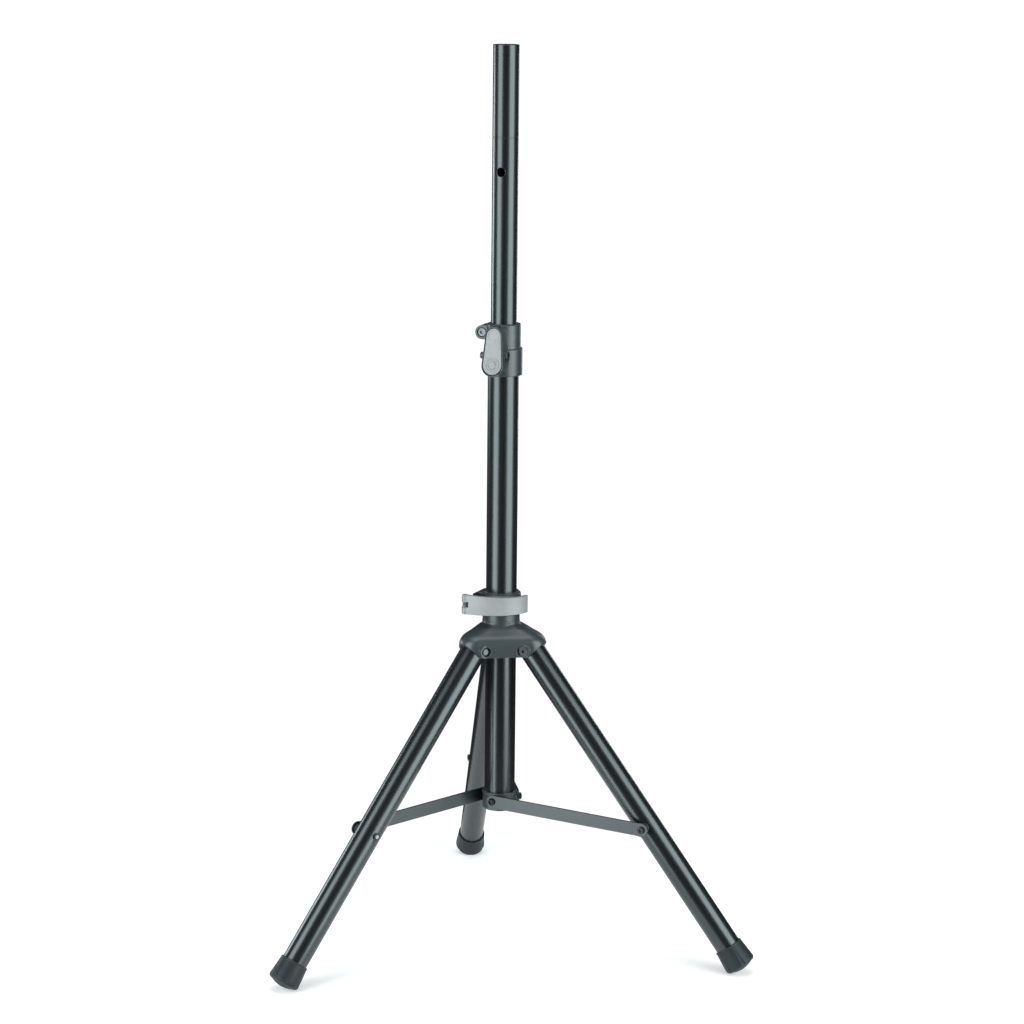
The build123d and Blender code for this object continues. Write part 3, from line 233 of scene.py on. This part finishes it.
class Shader:
    """A short way to write the nodes of one material."""

    def __init__(self, name):
        self.material = bpy.data.materials.new(name)
        self.material.use_nodes = True
        self.tree = self.material.node_tree
        self.surface = self.tree.nodes["Principled BSDF"]

    def add(self, kind, inputs=(), **settings):
        node = self.tree.nodes.new(kind)
        for key, value in settings.items():
            setattr(node, key, value)
        for key, value in dict(inputs).items():
            self.put(node.inputs[key], value)
        return node

    def put(self, socket, value):
        if isinstance(value, bpy.types.NodeSocket):
            self.tree.links.new(value, socket)
        else:
            socket.default_value = value

    def place(self, turn=None):
        """The point on the piece in metres, turned so that Z runs along the part."""
        point = self.add("ShaderNodeTexCoord").outputs["Object"]
        if turn is None:
            return point
        mapping = self.add("ShaderNodeMapping", {"Vector": point}, vector_type="POINT")
        mapping.inputs["Rotation"].default_value = turn.inverted().to_euler("XYZ")
        return mapping.outputs["Vector"]

    def vector(self, operation, a, b=None):
        """A vector node that works on one or two vectors."""
        inputs = {0: a} if b is None else {0: a, 1: b}
        return self.add("ShaderNodeVectorMath", inputs, operation=operation)

    def stretch(self, vector, scale):
        return self.vector("MULTIPLY", vector, scale).outputs["Vector"]

    def noise(self, vector, scale=1.0, detail=2.0, roughness=0.5, distortion=0.0):
        inputs = {
            "Vector": vector,
            "Scale": scale,
            "Detail": detail,
            "Roughness": roughness,
            "Distortion": distortion,
        }
        return self.add("ShaderNodeTexNoise", inputs).outputs["Fac"]

    def from_axis(self, point, centre, axis):
        """How far a point is from a line, in metres."""
        offset = self.vector("SUBTRACT", point, centre).outputs["Vector"]
        arm = self.vector("CROSS_PRODUCT", offset, axis).outputs["Vector"]
        return self.vector("LENGTH", arm).outputs["Value"]

    def span(self, value, low, high, to_low=0.0, to_high=1.0):
        """Maps a value from one range to another and clamps it."""
        inputs = {"Value": value, "From Min": low, "From Max": high, "To Min": to_low, "To Max": to_high}
        return self.add("ShaderNodeMapRange", inputs, clamp=True).outputs["Result"]

    def calc(self, operation, a, b):
        return self.add("ShaderNodeMath", {0: a, 1: b}, operation=operation).outputs["Value"]

    def times(self, a, b):
        return self.calc("MULTIPLY", a, b)

    def mix(self, factor, a, b):
        node = self.add("ShaderNodeMix", data_type="RGBA")
        self.put(node.inputs["Factor"], factor)
        self.put(node.inputs["A"], self.colour(a))
        self.put(node.inputs["B"], self.colour(b))
        return node.outputs["Result"]

    @staticmethod
    def colour(value):
        return value if isinstance(value, bpy.types.NodeSocket) else (*value, 1.0)

    def edges(self, radius):
        """Close to 1 along edges and 0 on open faces, with the rounded normal to shade with."""
        bevel = self.add("ShaderNodeBevel", {"Radius": radius}, samples=4)
        normal = self.add("ShaderNodeNewGeometry").outputs["Normal"]
        facing = self.vector("DOT_PRODUCT", bevel.outputs[0], normal)
        return self.span(facing.outputs["Value"], 0.995, 0.9), bevel.outputs[0]

    def bump(self, height, strength, distance, normal=None):
        inputs = {"Height": height, "Strength": strength, "Distance": distance}
        if normal is not None:
            inputs["Normal"] = normal
        return self.add("ShaderNodeBump", inputs).outputs["Normal"]

    def finish(self, **values):
        for key, value in values.items():
            self.put(self.surface.inputs[key.replace("_", " ")], value)
        return self.material


def scaled(colour, factor):
    """A brighter or darker colour, kept within 1."""
    return tuple(min(1.0, factor * value) for value in colour)


# ---------------------------------------------------------------- materials


def powder_coat(name, turn=None, bevel=COAT_EDGE, roughness=COAT_ROUGHNESS):
    """Satin black powder coat on steel: fine orange peel, faint drawing lines, scuffs and rubbed edges."""
    shader = Shader(name)
    point = shader.place(turn)
    cloud = shader.noise(point, scale=14.0, detail=3.0)
    peel = shader.noise(point, scale=620.0, roughness=0.6)
    drawn = shader.noise(shader.stretch(point, (520.0, 520.0, 5.0)), detail=3.0, roughness=0.6)
    rub_point = shader.stretch(point, (380.0, 380.0, 34.0))
    rub = shader.noise(rub_point, detail=4.0, roughness=0.7, distortion=0.4)
    scuff = shader.times(shader.span(rub, 0.64, 0.70), shader.span(cloud, 0.50, 0.62))
    edge, rounded = shader.edges(bevel)
    chips = shader.noise(point, scale=210.0, detail=4.0, roughness=0.7)
    worn = shader.times(edge, shader.span(chips, 0.50, 0.66))
    paint = shader.mix(shader.span(cloud, 0.3, 0.7), POWDER_BLACK, scaled(POWDER_BLACK, PALER))
    paint = shader.mix(shader.times(scuff, 0.2), paint, POWDER_SCUFF)
    paint = shader.mix(shader.times(worn, 0.7), paint, POWDER_WORN)
    gloss = shader.span(drawn, 0.25, 0.75, roughness - 0.025, roughness + 0.035)
    gloss = shader.calc("ADD", gloss, shader.times(scuff, 0.08))
    normal = shader.bump(peel, 0.005, RELIEF, rounded)
    normal = shader.bump(drawn, 0.0025, RELIEF, normal)
    return shader.finish(
        Base_Color=paint,
        Roughness=gloss,
        Metallic=shader.times(worn, 0.6),
        Normal=normal,
        Specular_IOR_Level=0.8,
        Specular_Tint=POWDER_TINT,
    )


def nylon(name):
    """Glass-filled nylon: a fine spark-eroded grain, slightly paler where hands and tools rub it."""
    shader = Shader(name)
    point = shader.place()
    cloud = shader.noise(point, scale=22.0, detail=3.0)
    grain = shader.noise(point, scale=1500.0, detail=3.0, roughness=0.65)
    cells = shader.add("ShaderNodeTexVoronoi", {"Vector": point, "Scale": 1100.0}).outputs["Distance"]
    fibre = shader.noise(shader.stretch(point, (900.0, 260.0, 260.0)), roughness=0.6, distortion=1.5)
    edge, rounded = shader.edges(NYLON_EDGE)
    rubs = shader.noise(point, scale=160.0, detail=4.0, roughness=0.7)
    worn = shader.times(edge, shader.span(rubs, 0.42, 0.62))
    plastic = shader.mix(shader.span(cloud, 0.3, 0.7), NYLON_GREY, scaled(NYLON_GREY, PALER))
    plastic = shader.mix(shader.times(shader.span(fibre, 0.55, 0.75), 0.25), plastic, NYLON_FIBRE)
    plastic = shader.mix(shader.times(worn, 0.55), plastic, NYLON_WORN)
    gloss = shader.span(grain, 0.3, 0.7, 0.32, 0.44)
    gloss = shader.calc("SUBTRACT", gloss, shader.times(worn, 0.1))
    normal = shader.bump(cells, 0.10, RELIEF, rounded)
    normal = shader.bump(grain, 0.12, RELIEF, normal)
    return shader.finish(Base_Color=plastic, Roughness=gloss, Normal=normal, Specular_IOR_Level=0.7)


def silver_paint(name):
    """Silver lacquer over die-cast metal: metal flake, polishing lines and rubbed edges."""
    shader = Shader(name)
    point = shader.place()
    cloud = shader.noise(point, scale=40.0, detail=3.0)
    flake = shader.noise(point, scale=2600.0, detail=1.0)
    lines = shader.noise(shader.stretch(point, (60.0, 60.0, 1500.0)), detail=3.0, roughness=0.6)
    edge, rounded = shader.edges(SILVER_EDGE)
    rubs = shader.noise(point, scale=240.0, detail=4.0, roughness=0.7)
    worn = shader.times(edge, shader.span(rubs, 0.40, 0.60))
    paint = shader.mix(shader.span(cloud, 0.3, 0.7), SILVER_DARK, SILVER_LIGHT)
    paint = shader.mix(shader.times(shader.span(flake, 0.55, 0.7), 0.35), paint, SILVER_FLAKE)
    paint = shader.mix(shader.times(worn, 0.5), paint, SILVER_WORN)
    gloss = shader.span(lines, 0.25, 0.75, 0.44, 0.54)
    normal = shader.bump(lines, 0.05, RELIEF, rounded)
    normal = shader.bump(flake, 0.05, FINE_RELIEF, normal)
    return shader.finish(Base_Color=paint, Roughness=gloss, Metallic=0.15, Normal=normal)


def steel_texture(shader, point):
    """Tarnish, and the machining marks of a turned or rolled piece."""
    cloud = shader.noise(point, scale=90.0, detail=4.0, roughness=0.6)
    marks = shader.noise(shader.stretch(point, (300.0, 300.0, 2200.0)), roughness=0.6)
    return cloud, marks


def steel(name, base, roughness, rust=0.0):
    """Turned or rolled steel with fine machining marks and a little tarnish."""
    shader = Shader(name)
    cloud, marks = steel_texture(shader, shader.place())
    edge, rounded = shader.edges(STEEL_EDGE)
    metal = shader.mix(shader.span(cloud, 0.35, 0.7), base, scaled(base, 0.6))
    metal = shader.mix(shader.times(edge, 0.5), metal, scaled(base, 1.5))
    if rust:
        metal = shader.mix(shader.times(shader.span(cloud, 0.62, 0.8), rust), metal, RUST)
    gloss = shader.span(marks, 0.25, 0.75, roughness - 0.06, roughness + 0.08)
    normal = shader.bump(marks, 0.08, FINE_RELIEF, rounded)
    return shader.finish(Base_Color=metal, Roughness=gloss, Metallic=0.9, Normal=normal)


def bolt_end(name, centre, axis):
    """Black oxide with a bare bright shank end, as where a nut has cut the finish away."""
    shader = Shader(name)
    point = shader.place()
    cloud, marks = steel_texture(shader, point)
    shank = shader.span(shader.from_axis(point, centre, axis), SHANK_FADE_R, SHANK_R)
    edge, rounded = shader.edges(STEEL_EDGE)
    tarnish = shader.span(cloud, 0.35, 0.7)
    dark = shader.mix(tarnish, BOLT_LIGHT, BOLT_DARK)
    bright = shader.mix(tarnish, SHANK_LIGHT, SHANK_DARK)
    metal = shader.mix(shank, dark, bright)
    metal = shader.mix(shader.times(edge, 0.4), metal, SHANK_LIGHT)
    gloss = shader.span(marks, 0.25, 0.75, 0.34, 0.46)
    normal = shader.bump(marks, 0.08, FINE_RELIEF, rounded)
    return shader.finish(Base_Color=metal, Roughness=gloss, Metallic=0.9, Normal=normal)


def rubber(name):
    """Moulded rubber: a dull skin with fine pores, dusty low down, and a painted highlight that makes it
    paler along the edges.
    """
    shader = Shader(name)
    point = shader.place()
    cloud = shader.noise(point, scale=45.0, detail=4.0, roughness=0.6)
    pores = shader.noise(point, scale=1300.0, detail=3.0, roughness=0.7)
    edge, rounded = shader.edges(RUBBER_EDGE_R)
    height = shader.add("ShaderNodeSeparateXYZ", {"Vector": point}).outputs["Z"]
    dust = shader.times(shader.span(height, DUST_TOP, DUST_FULL), shader.span(cloud, 0.35, 0.7))
    skin = shader.mix(shader.span(cloud, 0.3, 0.7), RUBBER_DARK, RUBBER_LIGHT)
    # Painted highlight: the skin is made paler along every edge.
    skin = shader.mix(shader.times(edge, 0.25), skin, RUBBER_EDGE_HIGHLIGHT)
    skin = shader.mix(shader.times(dust, 0.2), skin, RUBBER_DUST)
    gloss = shader.span(pores, 0.3, 0.7, 0.42, 0.54)
    normal = shader.bump(pores, 0.15, RELIEF, rounded)
    return shader.finish(Base_Color=skin, Roughness=gloss, Normal=normal, Specular_IOR_Level=0.3)


def floor_paper(name):
    """Plain white studio paper that glows faintly, so that it stays white."""
    shader = Shader(name)
    tooth = shader.noise(shader.place(), scale=260.0, detail=3.0)
    white = shader.mix(tooth, PAPER_DARK, PAPER_LIGHT)
    normal = shader.bump(tooth, 0.03, PAPER_RELIEF)
    return shader.finish(
        Base_Color=white,
        Roughness=0.9,
        Normal=normal,
        Emission_Color=FLOOR_GLOW_COLOUR,
        Emission_Strength=FLOOR_GLOW,
    )


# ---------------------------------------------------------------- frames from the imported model


def leg_frame(side):
    """A frame on a leg's hinge whose +Z runs down the leg and whose +Y is the hinge's axis."""
    joint = JOINTS[f"{side}_leg_fold"]
    hinge = Vector(joint["pos_m"])
    low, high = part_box(f"leg_tube_{side}")
    along = ((low + high) / 2 - hinge).normalized()
    across = Vector(joint["axis"]).normalized()
    out = across.cross(along).normalized()
    across = along.cross(out)
    turn = Matrix((out, across, along)).transposed().to_4x4()
    return Matrix.Translation(hinge) @ turn


def axis_point(name, side):
    """The middle of a round CAD node that lies across a leg."""
    matrix = leg_frame(side)
    back = matrix.inverted()
    points = [back @ vertex.co for vertex in NODES[name].data.vertices]
    centre = [(min(axis) + max(axis)) / 2 for axis in zip(*points)]
    return matrix @ Vector(centre)


def reach(name, matrix):
    """The lowest and highest Z of a CAD node in a frame."""
    back = matrix.inverted()
    heights = [(back @ vertex.co).z for vertex in NODES[name].data.vertices]
    return min(heights), max(heights)


# ---------------------------------------------------------------- foot caps, metres and degrees

CAP_TOP_R = 0.0194
CAP_BOTTOM_R = 0.0216
CAP_EDGE_R = 0.0050
CAP_BORE_R = 0.0175
CAP_FLOOR = 0.0044
CAP_SIDE_STEPS = 22
CAP_EDGE_STEPS = 8
CAP_SHARP_ANGLE = 24.0
# The rim's points as (out, down): first from the bore's top, then from the cap's top radius.
RIM_INSIDE = ((0.0, 0.0006), (0.0003, 0.0001), (0.0007, 0.0))
RIM_BEAD = ((-0.0004, 0.0001), (0.0001, 0.0005), (0.0003, 0.0011), (0.0001, 0.0017), (0.0, 0.0024))
SOLE_RISE = 0.0040
# Shares of the sole's flat radius where its three ring grooves start, and one groove's (inward, down).
SOLE_RINGS = (0.85, 0.60, 0.35)
SOLE_GROOVE = ((0.0, 0.0), (0.03, 0.0007), (0.05, 0.0007), (0.08, 0.0))
SOLE_CENTRE = (0.1, 0.0)
FLUTE_COUNT = 6
FLUTE_START = 0.009
FLUTE_END_HALF = 0.0029
FLUTE_END_DEPTH = 0.0019
FLUTE_CLEAR_OF_BORE = 0.0005
FLUTE_PITCH = 360.0 / FLUTE_COUNT
# Angles to one side of a flute's middle, closer together where the groove is.
FLUTE_HALF_STEPS = (1.5, 3, 4.5, 6, 7.5, 9, 10.5, 13, 16, 20, 25)
FLUTE_STEPS = (-FLUTE_PITCH / 2, *(-step for step in reversed(FLUTE_HALF_STEPS)), 0, *FLUTE_HALF_STEPS)
FLUTE_TURN = {"rear": 0.0, "left": 57.3, "right": 51.8}


def rim_points(top):
    """The rounded rim round the leg, from the bore to the side."""
    points = [(CAP_BORE_R + out, top + down) for out, down in RIM_INSIDE]
    return points + [(CAP_TOP_R + out, top + down) for out, down in RIM_BEAD]


def sole_points(flat_r, end):
    """The crowned sole, from its edge to its middle."""
    sphere_r = (flat_r**2 + SOLE_RISE**2) / (2 * SOLE_RISE)
    shares = [(ring - inward, down) for ring in SOLE_RINGS for inward, down in SOLE_GROOVE]
    shares += [(share, 0.0) for share in SOLE_CENTRE]
    points = []
    for share, groove in shares:
        radius = flat_r * share
        crown = end + SOLE_RISE - sphere_r + math.sqrt(sphere_r**2 - radius**2)
        points.append((radius, crown - groove))
    return points


def cap_profile(top, end):
    """The cap's outline as (radius, distance down the leg): bore, rim bead, side, rolled edge and sole."""
    flat_r = CAP_BOTTOM_R - CAP_EDGE_R
    points = [(0.0, end - CAP_FLOOR), (CAP_BORE_R, end - CAP_FLOOR)]
    points += rim_points(top)
    side_start = points[-1][1]
    side_end = end - CAP_EDGE_R
    for step in range(1, CAP_SIDE_STEPS + 1):
        share = step / CAP_SIDE_STEPS
        z = side_start + (side_end - side_start) * share
        points.append((CAP_TOP_R + (CAP_BOTTOM_R - CAP_TOP_R) * share, z))
    for step in range(1, CAP_EDGE_STEPS + 1):
        angle = math.radians(90 * step / CAP_EDGE_STEPS)
        points.append((flat_r + CAP_EDGE_R * math.cos(angle), side_end + CAP_EDGE_R * math.sin(angle)))
    return points + sole_points(flat_r, end)


def flute_depth(degrees, radius, z, top, end):
    """How deep a flute cuts in, this far from its middle and this far down the leg."""
    on_outside = radius > CAP_TOP_R - FLUTE_CLEAR_OF_BORE or z > end - CAP_EDGE_R
    share = min(1.0, (z - top - FLUTE_START) / (end - top - FLUTE_START))
    if share <= 0 or not on_outside:
        return 0.0
    offset = abs(math.radians(degrees)) * radius
    fade = min(1.0, (end - z) / CAP_EDGE_R)
    return max(0.0, FLUTE_END_DEPTH * share * fade * (1 - offset / (FLUTE_END_HALF * share)))


def cap_ring(bm, matrix, radius, z, top, end, turn):
    """One ring of the cap's points, or a single point on its axis."""
    if radius == 0.0:
        return [bm.verts.new(matrix @ Vector((0, 0, z)))]
    ring = []
    for flute in range(FLUTE_COUNT):
        for step in FLUTE_STEPS:
            cut_r = radius - flute_depth(step, radius, z, top, end)
            angle = math.radians(FLUTE_PITCH * flute + step + turn)
            ring.append(bm.verts.new(matrix @ Vector((cut_r * math.cos(angle), cut_r * math.sin(angle), z))))
    return ring


def join_rings(bm, upper, lower):
    """Fills the band between two rings; either ring may be a single point."""
    count = max(len(upper), len(lower))
    for index in range(count):
        after = (index + 1) % count
        if len(upper) == 1:
            bm.faces.new((upper[0], lower[index], lower[after]))
        elif len(lower) == 1:
            bm.faces.new((upper[index], upper[after], lower[0]))
        else:
            bm.faces.new((upper[index], upper[after], lower[after], lower[index]))


def make_foot_cap(side, material):
    """A fluted cap in the place of the plain one."""
    matrix = leg_frame(side)
    top, bottom = reach(f"foot_cap_{side}", matrix)
    end = bottom - SOLE_RISE
    bm = bmesh.new()
    rings = []
    for radius, z in cap_profile(top, end):
        rings.append(cap_ring(bm, matrix, radius, z, top, end, FLUTE_TURN[side]))
    for upper, lower in zip(rings, rings[1:]):
        join_rings(bm, upper, lower)
    bmesh.ops.recalc_face_normals(bm, faces=bm.faces)
    mesh = bpy.data.meshes.new(f"fluted_cap_{side}")
    bm.to_mesh(mesh)
    bm.free()
    mesh.materials.append(material)
    for polygon in mesh.polygons:
        polygon.use_smooth = True
    mesh.set_sharp_from_angle(angle=math.radians(CAP_SHARP_ANGLE))
    piece = bpy.data.objects.new(f"fluted_cap_{side}", mesh)
    bpy.context.scene.collection.objects.link(piece)
    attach(piece, f"{side}_leg")
    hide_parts(f"foot_cap_{side}")


# ---------------------------------------------------------------- finishes on the CAD nodes


def paint_node(name, material):
    """Gives a CAD node one material."""
    mesh = NODES[name].data
    mesh.materials.clear()
    mesh.materials.append(material)


def paint_pole():
    """The pole, hub and both clamps."""
    finishes = (
        (COATED_TUBES, powder_coat("pole_coat")),
        (PLASTIC, nylon("nylon")),
        (BLACK_STEEL, steel("black_oxide", OXIDE_GREY, roughness=0.34)),
        (ZINC_STEEL, steel("zinc_plate", ZINC_GREY, roughness=0.42, rust=0.2)),
        (SILVER_LEVERS, silver_paint("lever_paint")),
    )
    for names, material in finishes:
        for name in names:
            paint_node(name, material)


def dress_leg(side, foot_rubber):
    """One leg with its plug, brace, fasteners and foot cap."""
    turn = leg_frame(side).to_3x3()
    paint_node(f"leg_tube_{side}", powder_coat(f"leg_coat_{side}", turn))
    brace_turn = turn @ Matrix.Rotation(math.radians(90), 3, "X")
    brace_coat = powder_coat(f"brace_coat_{side}", brace_turn, BRACE_EDGE, BRACE_ROUGHNESS)
    paint_node(f"brace_{side}", brace_coat)
    plastic = bpy.data.materials["nylon"]
    paint_node(f"leg_plug_{side}", plastic)
    paint_node(f"brace_spacer_{side}", plastic)
    paint_node(f"foot_cap_{side}", foot_rubber)
    axis = Vector(JOINTS[f"{side}_leg_fold"]["axis"]).normalized()
    centre = axis_point(f"brace_bolt_{side}", side)
    paint_node(f"brace_bolt_{side}", bolt_end(f"bolt_{side}", centre, axis))
    paint_node(f"brace_screw_{side}", bpy.data.materials["black_oxide"])
    make_foot_cap(side, foot_rubber)


bpy.context.scene.view_settings.view_transform = "Standard"
make_studio()
paint_pole()
cap_rubber = rubber("foot_rubber")
for side in SIDES:
    dress_leg(side, cap_rubber)
